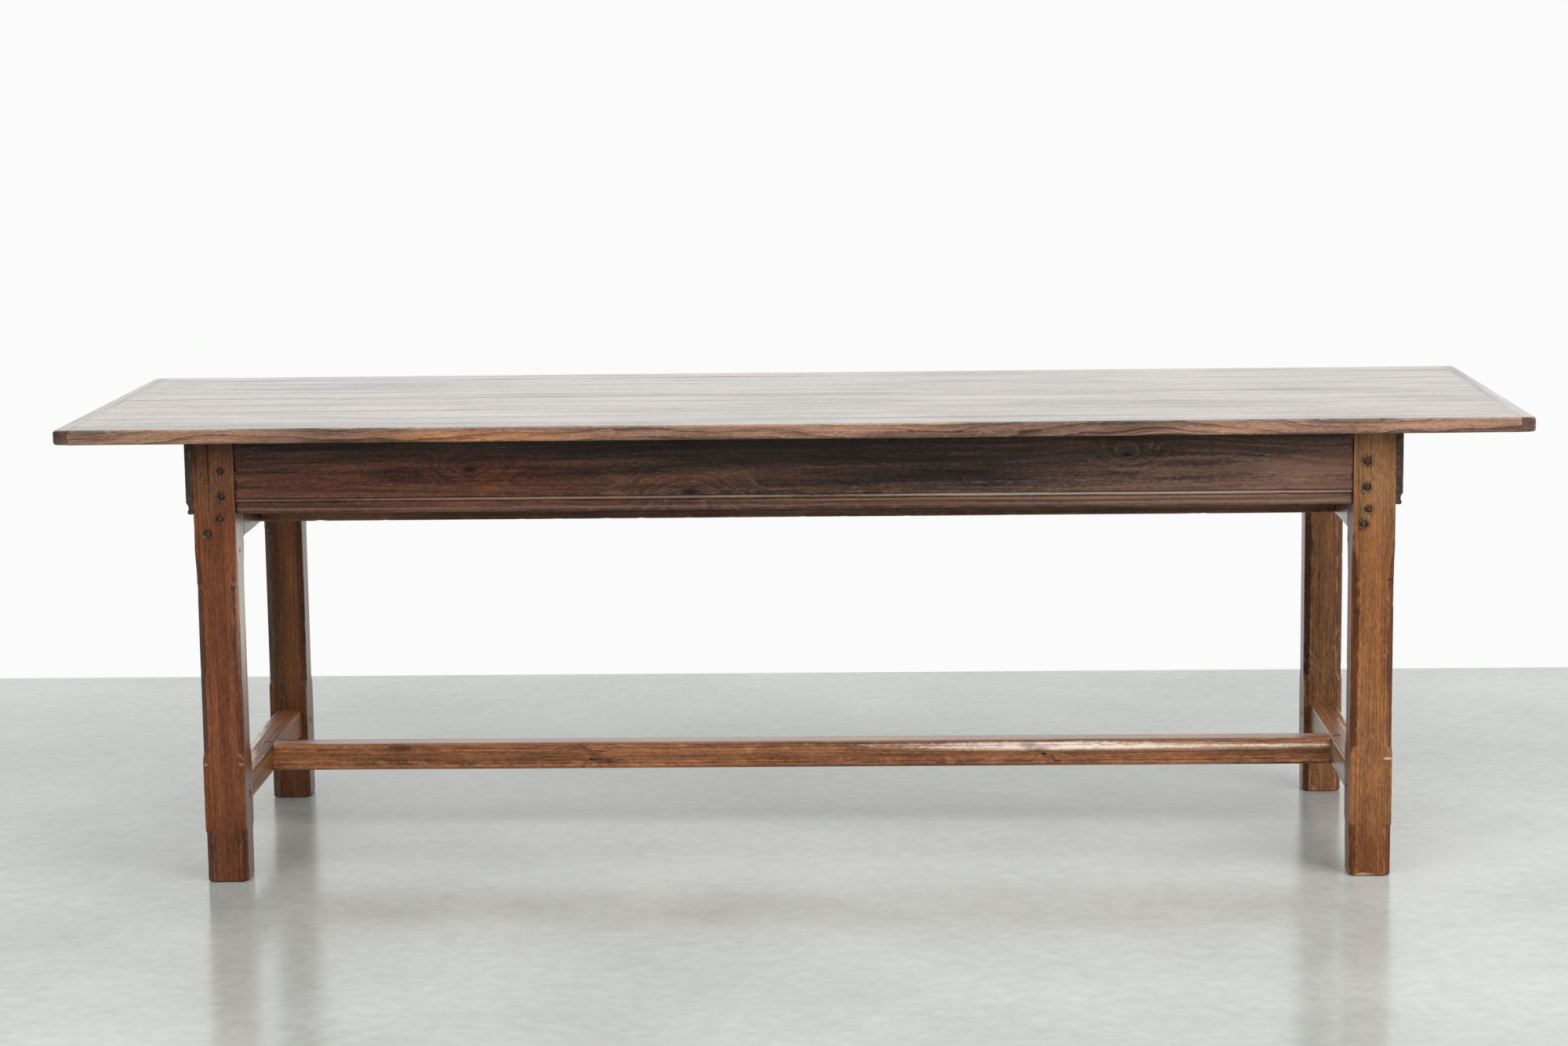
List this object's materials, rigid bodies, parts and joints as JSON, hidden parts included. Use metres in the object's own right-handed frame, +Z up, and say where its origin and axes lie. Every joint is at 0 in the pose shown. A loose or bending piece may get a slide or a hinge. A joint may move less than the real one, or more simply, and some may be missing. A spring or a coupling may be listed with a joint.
{
  "type": "dining table",
  "caption": "Old oak dining table: boarded top with end cleats, chamfered square legs, moulded aprons, H stretcher and an end drawer that slides out at each end.",
  "frame": {"origin": "on the floor, under the middle of the top", "axes": "+X along the length of the table, -Y towards the front, +Z up"},
  "size_m": [2.37, 0.79, 0.76],
  "materials": {
    "top_wood": "old waxed oak, worn pale",
    "cleat_wood": "old waxed oak, dark end grain",
    "leg_wood": "old waxed oak, red-brown",
    "apron_wood": "old waxed oak, dark brown",
    "rail_wood": "old oak, dark and dull",
    "stretcher_wood": "old waxed oak, foot-worn",
    "peg_wood": "dark end grain",
    "drawer_front_wood": "old waxed oak",
    "drawer_wood": "bare oak, unfinished"
  },
  "bodies": {
    "table": {"top_board_front": "top_wood", "top_board_middle": "top_wood", "top_board_rear": "top_wood", "top_board_back_strip": "top_wood", "cleat_left": "cleat_wood", "cleat_right": "cleat_wood", "leg_front_left": "leg_wood", "leg_front_right": "leg_wood", "leg_back_left": "leg_wood", "leg_back_right": "leg_wood", "apron_front": "apron_wood", "apron_back": "apron_wood", "end_rail_left": "rail_wood", "end_rail_right": "rail_wood", "runner_front": "rail_wood", "runner_back": "rail_wood", "side_stretcher_left": "stretcher_wood", "side_stretcher_right": "stretcher_wood", "centre_stretcher": "stretcher_wood", "apron_pegs": "peg_wood", "rail_pegs": "peg_wood", "stretcher_pegs": "peg_wood", "cross_pegs": "peg_wood"},
    "drawer_left": {"drawer_left_front": "drawer_front_wood", "drawer_left_side_front": "drawer_wood", "drawer_left_side_back": "drawer_wood", "drawer_left_back": "drawer_wood", "drawer_left_bottom": "drawer_wood"},
    "drawer_right": {"drawer_right_front": "drawer_front_wood", "drawer_right_side_front": "drawer_wood", "drawer_right_side_back": "drawer_wood", "drawer_right_back": "drawer_wood", "drawer_right_bottom": "drawer_wood"}
  },
  "joints": [
    {"name": "drawer_left_slide", "type": "slide", "parent": "table", "child": "drawer_left", "axis": [-1, 0, 0], "range_m": [0, 0.28]},
    {"name": "drawer_right_slide", "type": "slide", "parent": "table", "child": "drawer_right", "axis": [1, 0, 0], "range_m": [0, 0.28]}
  ]
}
